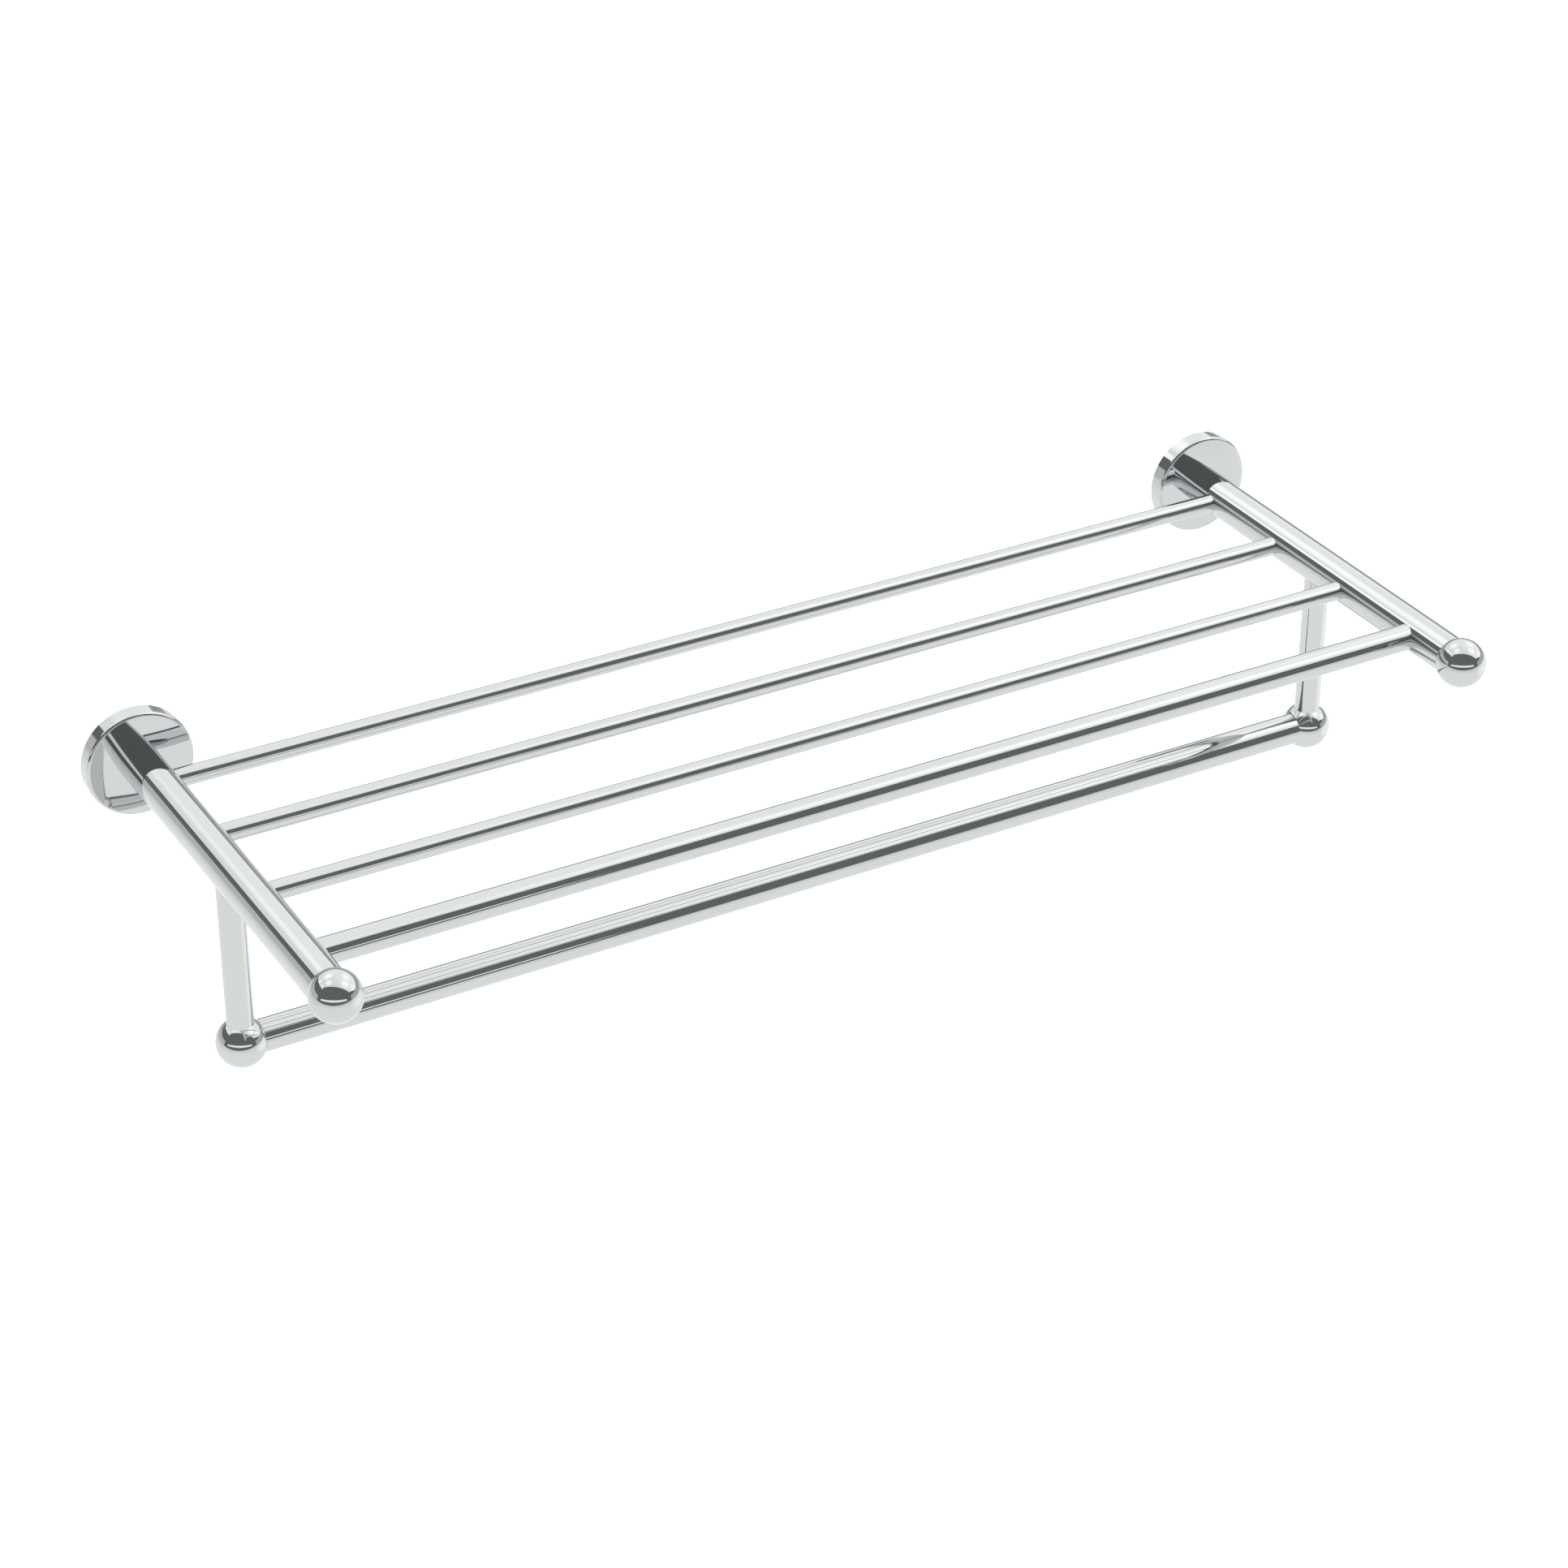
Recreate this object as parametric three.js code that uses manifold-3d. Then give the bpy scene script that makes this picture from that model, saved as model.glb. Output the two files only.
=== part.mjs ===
// A wall-mounted towel rack: two arms carry a shelf of four cross bars, and a post under each arm
// carries one end of a towel bar.
//
// Units are millimetres. The wall is the plane y = 0 and the rack stands out from it towards -y,
// x runs along the wall and z is up. The origin is on the wall, midway between the arms' axes.
// Every turned piece is drawn about the y axis of its own mesh, and its mesh is then turned into place.

import * as THREE from "three";
import { mergeVertices } from "three/addons/utils/BufferGeometryUtils.js";
import Module from "manifold-3d";

const wasm = await Module();
wasm.setup();

// Driving dimensions.
const ARM_SPACING = 600; // between the two arms' axes
const ARM_RADIUS = 9.8;
const ARM_WALL = 1.2;
const ARM_REACH = 231.6; // from the wall to the centre of the ball on the arm's end
const BALL_RADIUS = 12.3; // the same ball ends the arms and joins the posts to the towel bar

const FLANGE_RADIUS = 26.8;
const FLANGE_DEPTH = 9.5; // from the wall to the middle of its face
const FLANGE_WEB = 3; // thickness of the flange behind that
const FLANGE_RIM = 3.2; // thickness of the wall of its cup
const FLANGE_CROWN = 220; // radius of its face's slight crown, which is level at the arm
const FLANGE_EDGE = 1.6; // radius that softens its front edge

const BAR_PITCH = 56.2; // from each cross bar to the next
const FIRST_BAR_OFFSET = 28.8; // from the wall to the first cross bar
const REAR_BAR_RADIUS = 4.75;
const FRONT_BAR_RADIUS = 6.6;
const CROSS_BAR_WALL = 1;
const CROSS_BAR_STOP = 4; // a cross bar's end stops this far short of the arm's axis
const REAR_BARS = 3;

const POST_RADIUS = 6.5;
const POST_OFFSET = FIRST_BAR_OFFSET + 1.5 * BAR_PITCH; // midway between the second and third bars
const TOWEL_BAR_DROP = 94.4; // from the arms' axes down to the towel bar's axis
const TOWEL_BAR_RADIUS = 8.05;
const TOWEL_BAR_WALL = 1;

const PLATE_RADIUS = 21.4; // the wall plate hidden in each flange
const PLATE_DEPTH = 5.4;
const PLATE_BORE = 8;
const PLATE_GROOVE = 1.4; // depth of the groove that the grub screw draws on
const GROOVE_OFFSET = 3.4; // from the wall to the middle of that groove
const WALL_SCREW_OFFSET = 14.2; // from the plate's centre to each wall screw's hole
const WALL_SCREW_HOLE = 2.4;
const COUNTERSINK_RADIUS = 4.4;
const COUNTERSINK_DEPTH = 2.2;

const SEAT_DEPTH = 1; // how far the arm's tube is let into the flange
const M6_RADIUS = 3;
const M5_RADIUS = 2.5;
const M4_RADIUS = 2;
const ARM_SCREW_LENGTH = 14;
const ARM_SCREW_HEAD_RADIUS = 5.5;
const ARM_SCREW_HEAD_DEPTH = 3;
const ARM_SCREW_SOCKET = 2.3; // across-corners radius of its hexagon socket
const GRUB_SOCKET = 1.15;
const SOCKET_DEPTH = 1.8;
const END_INSERT_LENGTH = 14; // threaded plug in each end of an arm
const POST_INSERT_LENGTH = 16; // threaded plug in an arm, above its post
const BALL_STUD_GRIP = 8; // how deep the arm's stud goes into the ball, and into the tube's plug
const POST_STUD_GRIP = 7;
const CORNER_STUD_GRIP = 5; // how deep each of the two studs goes into a lower ball
const TOWEL_PLUG_LENGTH = 14;
const CHAMFER = 0.5;
const GAP = 0.3; // left between pieces that touch

// Sides of the polygons that stand for circles.
const WIDE_SIDES = 40;
const TUBE_SIDES = 30;
const BALL_SIDES = 26;
const ROD_SIDES = 20;
const SCREW_SIDES = 12;
const BALL_ARC_STEPS = 11;
const EDGE_ARC_STEPS = 3;
const CROWN_STEPS = 4;
const HEXAGON = 6;

const QUARTER_TURN = Math.PI / 2;

function metal(color, roughness) {
  return () => new THREE.MeshStandardMaterial({ color, roughness, metalness: 1 });
}

const polishedChrome = metal(0xdfe2e4, 0.05);
const turnedBrass = metal(0xb5945a, 0.35);
const platedSteel = metal(0x9fa3a6, 0.4);

const rack = new THREE.Group();

// Solids.

function toSolid(geometry) {
  const bare = geometry.clone();
  bare.deleteAttribute("normal");
  bare.deleteAttribute("uv");
  const merged = mergeVertices(bare, 1e-4);
  const vertProperties = merged.attributes.position.array;
  const triVerts = new Uint32Array(merged.index.array);
  return new wasm.Manifold(new wasm.Mesh({ numProp: 3, vertProperties, triVerts }));
}

function toGeometry(solid) {
  const mesh = solid.getMesh();
  const geometry = new THREE.BufferGeometry();
  geometry.setAttribute("position", new THREE.BufferAttribute(mesh.vertProperties, 3));
  geometry.setIndex(new THREE.BufferAttribute(mesh.triVerts, 1));
  geometry.computeVertexNormals();
  return geometry;
}

function cut(geometry, ...cutters) {
  const left = cutters.reduce((solid, cutter) => solid.subtract(toSolid(cutter)), toSolid(geometry));
  return toGeometry(left);
}

// Turns an outline of [radius, height] points about the y axis. It starts and ends on the axis.
function turned(outline, sides) {
  return new THREE.LatheGeometry(outline.map(([radius, height]) => new THREE.Vector2(radius, height)), sides);
}

// The same for an outline that goes round a ring's section and closes on its first point.
function turnedRing(outline, sides) {
  return turned([...outline, outline[0]], sides);
}

// Points of a circular arc round [radius, height], angles measured from the outward radius to +y.
function arc([radius, height], size, from, to, steps) {
  return Array.from({ length: steps + 1 }, (_, step) => {
    const angle = from + ((to - from) * step) / steps;
    return [radius + size * Math.cos(angle), height + size * Math.sin(angle)];
  });
}

function cylinder(radius, low, high, sides) {
  return new THREE.CylinderGeometry(radius, radius, high - low, sides).translate(0, (low + high) / 2, 0);
}

// A cylinder along x or z, for cutting across a piece that is turned about y.
function cylinderAlongX(radius, low, high, sides) {
  return cylinder(radius, low, high, sides).rotateZ(-QUARTER_TURN);
}

function cylinderAlongZ(radius, low, high, sides) {
  return cylinder(radius, low, high, sides).rotateX(QUARTER_TURN);
}

function inOrder(a, b) {
  return [Math.min(a, b), Math.max(a, b)];
}

function tube(radius, wall, low, high, sides) {
  const bore = radius - wall;
  return turnedRing([[bore, low], [radius, low], [radius, high], [bore, high]], sides);
}

// A rod with chamfered ends.
function stud(radius, low, high) {
  const outline = [
    [0, low],
    [radius - CHAMFER, low],
    [radius, low + CHAMFER],
    [radius, high - CHAMFER],
    [radius - CHAMFER, high],
    [0, high],
  ];
  return turned(outline, SCREW_SIDES);
}

// A plug with a threaded bore right through it, as it is fixed inside a tube's end.
function insert(radius, bore, low, high) {
  const outline = [
    [bore, low],
    [radius - CHAMFER, low],
    [radius, low + CHAMFER],
    [radius, high - CHAMFER],
    [radius - CHAMFER, high],
    [bore, high],
  ];
  return turnedRing(outline, ROD_SIDES);
}

// A ball centred on the origin, cut flat at the top where a round piece of seatRadius meets it, with
// a blind threaded hole down from the flat.
function tappedBall(seatRadius, holeRadius, holeDepth) {
  const seat = ballSeat(seatRadius);
  const seatAngle = Math.asin(seat / BALL_RADIUS);
  const outline = [
    ...arc([0, 0], BALL_RADIUS, -QUARTER_TURN, seatAngle, BALL_ARC_STEPS),
    [holeRadius, seat],
    [holeRadius, seat - holeDepth],
    [0, seat - holeDepth],
  ];
  return turned(outline, BALL_SIDES);
}

// From a ball's centre to the flat on which a round piece of seatRadius sits.
function ballSeat(seatRadius) {
  return Math.sqrt(BALL_RADIUS ** 2 - seatRadius ** 2);
}

function add(name, geometry, material, position = [0, 0, 0], rotation = [0, 0, 0]) {
  const mesh = new THREE.Mesh(geometry, material());
  mesh.name = name;
  mesh.position.set(...position);
  mesh.rotation.set(...rotation);
  rack.add(mesh);
}

const UPRIGHT = [QUARTER_TURN, 0, 0]; // turns a mesh's y axis up to z
const ALONG_WALL = [0, 0, -QUARTER_TURN]; // turns a mesh's y axis to x

const armBore = ARM_RADIUS - ARM_WALL;
const tubeFront = -ARM_REACH + ballSeat(ARM_RADIUS);
const tubeRoot = -FLANGE_DEPTH + SEAT_DEPTH - GAP;
const webBack = -FLANGE_DEPTH + FLANGE_WEB;
const seatFloor = -FLANGE_DEPTH + SEAT_DEPTH;
const crossBarEnd = ARM_SPACING / 2 - CROSS_BAR_STOP;
const towelBarEnd = ARM_SPACING / 2 - ballSeat(TOWEL_BAR_RADIUS) - GAP;
const postFoot = -TOWEL_BAR_DROP + ballSeat(POST_RADIUS) + GAP;
const m6Tapped = M6_RADIUS + GAP;
const m5Tapped = M5_RADIUS + GAP;

// The bars that cross the shelf, from the wall outwards.
const rearBars = Array.from({ length: REAR_BARS }, (_, index) => ({
  name: `rear_cross_bar_${index + 1}`,
  y: -FIRST_BAR_OFFSET - index * BAR_PITCH,
  radius: REAR_BAR_RADIUS,
}));
const frontBar = {
  name: "front_cross_bar",
  y: -FIRST_BAR_OFFSET - REAR_BARS * BAR_PITCH,
  radius: FRONT_BAR_RADIUS,
};
const crossBars = [...rearBars, frontBar];

// The wall end of an arm: wall plate, flange and the screws that hold them together.

function wallPlate() {
  const grooveFloor = PLATE_RADIUS - PLATE_GROOVE;
  const disc = turnedRing(
    [
      [PLATE_BORE, -PLATE_DEPTH],
      [PLATE_RADIUS, -PLATE_DEPTH],
      [PLATE_RADIUS, -GROOVE_OFFSET - PLATE_GROOVE],
      [grooveFloor, -GROOVE_OFFSET],
      [PLATE_RADIUS, -GROOVE_OFFSET + PLATE_GROOVE],
      [PLATE_RADIUS, 0],
      [PLATE_BORE, 0],
    ],
    TUBE_SIDES,
  );
  const holes = [-1, 1].flatMap((side) => {
    const countersink = new THREE.CylinderGeometry(
      WALL_SCREW_HOLE,
      COUNTERSINK_RADIUS,
      COUNTERSINK_DEPTH,
      SCREW_SIDES,
    );
    countersink.translate(side * WALL_SCREW_OFFSET, -PLATE_DEPTH + COUNTERSINK_DEPTH / 2, 0);
    const hole = cylinder(WALL_SCREW_HOLE, -PLATE_DEPTH - 1, 1, SCREW_SIDES);
    hole.translate(side * WALL_SCREW_OFFSET, 0, 0);
    return [countersink, hole];
  });
  return cut(disc, ...holes);
}

function flange() {
  const seatRadius = ARM_RADIUS + GAP;
  const rimInside = FLANGE_RADIUS - FLANGE_RIM;
  const crownCentre = -FLANGE_DEPTH + FLANGE_CROWN;
  const edgeRadius = FLANGE_RADIUS - FLANGE_EDGE;
  const insideCrown = FLANGE_CROWN - FLANGE_EDGE;
  const lean = Math.asin((edgeRadius - seatRadius) / insideCrown);
  const edgeCentre = [edgeRadius, crownCentre - insideCrown * Math.cos(lean)];
  const crown = arc([seatRadius, crownCentre], FLANGE_CROWN, -QUARTER_TURN, lean - QUARTER_TURN, CROWN_STEPS);
  const edge = arc(edgeCentre, FLANGE_EDGE, lean - QUARTER_TURN, 0, EDGE_ARC_STEPS);
  const cup = turnedRing(
    [
      [m6Tapped, seatFloor],
      [seatRadius, seatFloor],
      ...crown,
      ...edge.slice(1),
      [FLANGE_RADIUS, 0],
      [rimInside, 0],
      [rimInside, webBack],
      [m6Tapped, webBack],
    ],
    WIDE_SIDES,
  );
  const grubHole = cylinderAlongZ(M4_RADIUS + GAP, -FLANGE_RADIUS - 1, -rimInside + 1, SCREW_SIDES);
  grubHole.translate(0, -GROOVE_OFFSET, 0);
  return cut(cup, grubHole);
}

// Clamps the arm's tube to the flange from behind, before the flange goes over its wall plate.
function armScrew() {
  const underHead = webBack + GAP;
  const top = underHead + ARM_SCREW_HEAD_DEPTH;
  const tip = underHead - ARM_SCREW_LENGTH;
  const blank = turned(
    [
      [0, tip],
      [M6_RADIUS - CHAMFER, tip],
      [M6_RADIUS, tip + CHAMFER],
      [M6_RADIUS, underHead],
      [ARM_SCREW_HEAD_RADIUS, underHead],
      [ARM_SCREW_HEAD_RADIUS, top - CHAMFER],
      [ARM_SCREW_HEAD_RADIUS - CHAMFER, top],
      [0, top],
    ],
    ROD_SIDES,
  );
  return cut(blank, cylinder(ARM_SCREW_SOCKET, top - SOCKET_DEPTH, top + 1, HEXAGON));
}

// Drawn with its cone point up, as it stands in the underside of the flange.
function grubScrew() {
  const point = -(PLATE_RADIUS - PLATE_GROOVE + GAP);
  const shoulder = point - M4_RADIUS;
  const foot = -FLANGE_RADIUS + GAP;
  const blank = turned(
    [
      [0, foot],
      [M4_RADIUS, foot],
      [M4_RADIUS, shoulder],
      [0, point],
    ],
    SCREW_SIDES,
  );
  return cut(blank, cylinder(GRUB_SOCKET, foot - 1, foot + SOCKET_DEPTH, HEXAGON));
}

// The arm: a tube with a hole in its inner side for each cross bar and one below for the post's stud.

function armTube(side) {
  const holes = crossBars.map(({ y, radius }) => {
    const inward = inOrder(-side * 2 * ARM_RADIUS, 0);
    return cylinderAlongX(radius + GAP, ...inward, ROD_SIDES).translate(0, y, 0);
  });
  const studHole = cylinderAlongZ(m5Tapped, -2 * ARM_RADIUS, 0, SCREW_SIDES).translate(0, -POST_OFFSET, 0);
  return cut(tube(ARM_RADIUS, ARM_WALL, tubeFront + GAP, tubeRoot, TUBE_SIDES), ...holes, studHole);
}

function postInsert() {
  const plug = cylinder(armBore - GAP, -POST_INSERT_LENGTH / 2, POST_INSERT_LENGTH / 2, ROD_SIDES);
  const hole = cylinderAlongZ(m5Tapped, -2 * armBore, GAP, SCREW_SIDES);
  return cut(plug, hole);
}

// The post hangs from the arm: its top is hollowed to sit round the tube, and both ends are threaded.
function post() {
  const rod = cylinder(POST_RADIUS, postFoot, 0, ROD_SIDES);
  const saddle = cylinderAlongZ(ARM_RADIUS + GAP, -2 * POST_RADIUS, 2 * POST_RADIUS, TUBE_SIDES);
  const upperHole = cylinder(m5Tapped, -ARM_RADIUS - POST_STUD_GRIP - GAP, 0, SCREW_SIDES);
  const lowerHole = cylinder(m5Tapped, postFoot - 1, postFoot + POST_STUD_GRIP + GAP, SCREW_SIDES);
  return cut(rod, saddle, upperHole, lowerHole);
}

// A ball that takes the post from above and the towel bar from the side that faces the other arm.
function cornerBall(side) {
  const ball = tappedBall(POST_RADIUS, m5Tapped, CORNER_STUD_GRIP + GAP);
  const seat = ballSeat(TOWEL_BAR_RADIUS);
  const offcut = new THREE.BoxGeometry(BALL_RADIUS, 2 * BALL_RADIUS, 2 * BALL_RADIUS);
  offcut.translate(-side * (seat + BALL_RADIUS / 2), 0, 0);
  const depth = inOrder(-side * BALL_RADIUS, -side * (seat - CORNER_STUD_GRIP - GAP));
  return cut(ball, offcut, cylinderAlongX(m5Tapped, ...depth, SCREW_SIDES));
}

function addWallEnd(name, x) {
  add(`${name}_wall_plate`, wallPlate(), platedSteel, [x, 0, 0]);
  add(`${name}_flange`, flange(), polishedChrome, [x, 0, 0]);
  add(`${name}_arm_fixing_screw`, armScrew(), platedSteel, [x, 0, 0]);
  add(`${name}_flange_grub_screw`, grubScrew(), platedSteel, [x, -GROOVE_OFFSET, 0], UPRIGHT);
}

function addArm(name, x, side) {
  const frontInsertEnd = tubeFront + GAP + END_INSERT_LENGTH;
  const rootInsertEnd = tubeRoot - END_INSERT_LENGTH;
  const insertRadius = armBore - GAP;
  add(`${name}_arm_tube`, armTube(side), polishedChrome, [x, 0, 0]);
  add(
    `${name}_arm_root_insert`,
    insert(insertRadius, m6Tapped, rootInsertEnd, tubeRoot),
    turnedBrass,
    [x, 0, 0],
  );
  add(
    `${name}_arm_front_insert`,
    insert(insertRadius, m6Tapped, tubeFront + GAP, frontInsertEnd),
    turnedBrass,
    [x, 0, 0],
  );
  add(`${name}_arm_post_insert`, postInsert(), turnedBrass, [x, -POST_OFFSET, 0]);
  const ball = tappedBall(ARM_RADIUS, m6Tapped, BALL_STUD_GRIP + GAP);
  add(`${name}_front_ball`, ball, polishedChrome, [x, -ARM_REACH, 0]);
  const ballStud = stud(M6_RADIUS, tubeFront - BALL_STUD_GRIP, tubeFront + BALL_STUD_GRIP);
  add(`${name}_front_ball_stud`, ballStud, platedSteel, [x, 0, 0]);
}

function addPost(name, x, side) {
  const place = [x, -POST_OFFSET, 0];
  const cornerBallPlace = [x, -POST_OFFSET, -TOWEL_BAR_DROP];
  const ballTop = postFoot - GAP;
  add(`${name}_post`, post(), polishedChrome, place, UPRIGHT);
  const upperStud = stud(M5_RADIUS, -ARM_RADIUS - POST_STUD_GRIP, 0);
  add(`${name}_post_upper_stud`, upperStud, platedSteel, place, UPRIGHT);
  const lowerStud = stud(M5_RADIUS, ballTop - CORNER_STUD_GRIP, postFoot + POST_STUD_GRIP);
  add(`${name}_post_lower_stud`, lowerStud, platedSteel, place, UPRIGHT);
  const ball = cornerBall(side);
  add(`${name}_corner_ball`, ball, polishedChrome, cornerBallPlace, UPRIGHT);
}

// The plug and stud that fasten one end of the towel bar to its corner ball.
function addTowelBarEnd(name, side) {
  const ballFace = ARM_SPACING / 2 - ballSeat(TOWEL_BAR_RADIUS);
  const height = [0, -POST_OFFSET, -TOWEL_BAR_DROP];
  const facing = [0, 0, -side * QUARTER_TURN];
  const plug = insert(
    TOWEL_BAR_RADIUS - TOWEL_BAR_WALL - GAP,
    m5Tapped,
    towelBarEnd - TOWEL_PLUG_LENGTH,
    towelBarEnd,
  );
  add(`${name}_towel_bar_plug`, plug, turnedBrass, height, facing);
  const barStud = stud(M5_RADIUS, ballFace - POST_STUD_GRIP, ballFace + CORNER_STUD_GRIP);
  add(`${name}_towel_bar_stud`, barStud, platedSteel, height, facing);
}

for (const [name, side] of [["left", -1], ["right", 1]]) {
  const x = (side * ARM_SPACING) / 2;
  addWallEnd(name, x);
  addArm(name, x, side);
  addPost(name, x, side);
  addTowelBarEnd(name, side);
}

for (const { name, y, radius } of crossBars) {
  const bar = tube(radius, CROSS_BAR_WALL, -crossBarEnd, crossBarEnd, ROD_SIDES);
  add(name, bar, polishedChrome, [0, y, 0], ALONG_WALL);
}
const towelBar = tube(TOWEL_BAR_RADIUS, TOWEL_BAR_WALL, -towelBarEnd, towelBarEnd, ROD_SIDES);
add("towel_bar", towelBar, polishedChrome, [0, -POST_OFFSET, -TOWEL_BAR_DROP], ALONG_WALL);

export default rack;
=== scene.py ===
import math

import bpy
import numpy as np
from mathutils import Matrix, Vector


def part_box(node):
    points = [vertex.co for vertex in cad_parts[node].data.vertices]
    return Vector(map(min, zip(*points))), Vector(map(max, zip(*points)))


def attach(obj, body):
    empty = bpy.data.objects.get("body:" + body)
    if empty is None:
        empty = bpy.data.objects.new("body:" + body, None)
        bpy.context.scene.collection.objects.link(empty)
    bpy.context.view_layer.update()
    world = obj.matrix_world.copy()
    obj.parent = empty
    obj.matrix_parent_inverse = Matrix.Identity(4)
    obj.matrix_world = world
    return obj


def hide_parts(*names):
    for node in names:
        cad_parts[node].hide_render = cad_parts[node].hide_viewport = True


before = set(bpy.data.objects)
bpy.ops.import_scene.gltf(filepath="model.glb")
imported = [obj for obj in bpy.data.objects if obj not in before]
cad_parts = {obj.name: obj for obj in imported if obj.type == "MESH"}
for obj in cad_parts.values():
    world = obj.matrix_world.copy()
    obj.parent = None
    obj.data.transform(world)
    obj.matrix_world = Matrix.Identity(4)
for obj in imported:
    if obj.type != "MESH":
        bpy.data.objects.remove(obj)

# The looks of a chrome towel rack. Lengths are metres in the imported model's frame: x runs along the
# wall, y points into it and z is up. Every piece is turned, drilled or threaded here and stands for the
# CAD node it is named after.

MM = 0.001
SIDES = (("left", -1), ("right", 1))
X, Y, Z = Vector((1, 0, 0)), Vector((0, 1, 0)), Vector((0, 0, 1))

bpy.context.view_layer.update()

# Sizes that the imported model's boxes don't show.
ARM_WALL = 1.2 * MM
BAR_WALL = 1.0 * MM
FIT = 0.02 * MM  # clearance round a piece that is brazed or pressed into another
FLANGE_WEB = 3.0 * MM
FLANGE_RIM = 3.2 * MM
FLANGE_EDGE = 1.6 * MM
FLANGE_CROWN = 220.0 * MM  # radius of a flange's slightly crowned face, which is level at the arm
BACK_EDGE = 0.3 * MM
ARM_SEAT = 1.0 * MM  # how far an arm is let into its flange
PLATE_BORE = 8.0 * MM
PLATE_GROOVE = 1.4 * MM
PLATE_EDGE = 0.4 * MM
GRUB_OFFSET = 3.4 * MM
WALL_SCREW_OFFSET = 14.2 * MM
WALL_SCREW_HOLE = 2.4 * MM
COUNTERSINK = 4.4 * MM
SOCKET_DEPTH = 1.8 * MM
GRUB_SOCKET = 1.15 * MM
ARM_SCREW_SOCKET = 2.3 * MM
SCREW_HEAD_DEPTH = 3.0 * MM
HEAD_EDGE = 0.2 * MM
HEAD_ROUNDING = 0.6 * MM  # how far a screw head's round edge reaches down and in
HEAD_SHOULDER = 0.25 * MM
UNDERCUT = 0.4 * MM  # plain stretch below a screw's head
GRUB_POINT = 1.5 * MM
GRUB_POINT_BASE = 1.45 * MM
GRUB_TIP = 0.15 * MM
GRUB_NECK = 0.1 * MM
CHAMFER = 0.5 * MM
KNURL_BANDS = 3
KNURL_DEPTH = 0.25 * MM
BAND_GROOVE = 0.35 * MM

# Threads, by their outer radius.
M4, M5, M6 = 2.0 * MM, 2.5 * MM, 3.0 * MM
PITCH = {M4: 0.7 * MM, M5: 0.8 * MM, M6: 1.0 * MM}
THREAD_SHARE = 0.6  # depth of a thread as a share of its pitch
THREAD_FLAT = 0.1  # half the width of its crest and of its root, as a share of half its pitch
THREAD_ROOT = 0.5 * MM  # how far outside its stud a plug's thread is cut
TAP_GAP = 0.2 * MM  # clearance round a stud in a tapped hole
SCREW_GAP = 0.3 * MM  # clearance round the arm's screw in the flange
GRUB_GAP = 0.1 * MM
HOLE_EXTRA = 0.8 * MM  # how far a tapped hole goes on past its stud
BALL_HOLE_DEPTH = 5.6 * MM
OVER = 1.0 * MM  # how far a cutter reaches past what it cuts

# Fineness of the meshes.
ROUND_SIDES = 128
SMALL_SIDES = 64
THREAD_SIDES = 32
RINGS_PER_PITCH = 6
BALL_STEPS = 64
FACE_STEPS = 24
EDGE_STEPS = 20
BACK_EDGE_STEPS = 4
THREAD_CREASE = 38  # degrees from which an edge of a threaded piece stays sharp
KNURL_CREASE = 25
TINY = 1e-9
ON_SURFACE = 0.006 * MM  # a vertex this close to a surface lies on it
FACING = 0.8  # a face lies on a surface if its normal agrees at least this well


# Outlines, in (radius, height) about a piece's own axis.


class Line:
    """A straight stretch of an outline."""

    def __init__(self, start, end):
        self.points = [start, end]
        along = np.subtract(end, start) / np.linalg.norm(np.subtract(end, start))
        self.start = np.array(start)
        self.normal = np.array([along[1], -along[0]])

    def fit(self, places):
        """How far each place is from this stretch, and the surface normal there."""
        distance = np.abs((places - self.start) @ self.normal)
        return distance, np.broadcast_to(self.normal, places.shape)


class Arc:
    """A round stretch of an outline, its angles in degrees from the outward radius."""

    def __init__(self, centre, radius, first, last, steps):
        angles = np.radians(np.linspace(first, last, steps + 1))
        self.centre = np.array(centre)
        self.radius = radius
        ends = self.centre + radius * np.column_stack((np.cos(angles), np.sin(angles)))
        self.points = [tuple(end) for end in ends]

    def fit(self, places):
        """The same for a round stretch."""
        outward = places - self.centre
        length = np.maximum(np.linalg.norm(outward, axis=1), TINY)
        return np.abs(length - self.radius), outward / length[:, None]


def polyline(*points):
    """Straight stretches through the points."""
    return [Line(start, end) for start, end in zip(points, points[1:])]


def ring_of(*points):
    """Straight stretches through the points and back to the first."""
    return polyline(*points, points[0])


def axis_frame(origin, axis):
    """The matrix that puts a piece's own axis along the given one, from the origin."""
    return Matrix.Translation(origin) @ axis.to_track_quat("Z", "Y").to_matrix().to_4x4()


# Meshes.

surfaces = {}  # piece name to the (placing matrix, outline stretch) pairs that its faces lie on


def new_object(name, vertices, faces):
    mesh = bpy.data.meshes.new(name)
    mesh.from_pydata([tuple(v) for v in vertices], [], faces)
    mesh.validate()
    piece = bpy.data.objects.new(name, mesh)
    bpy.context.scene.collection.objects.link(piece)
    return piece


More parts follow.
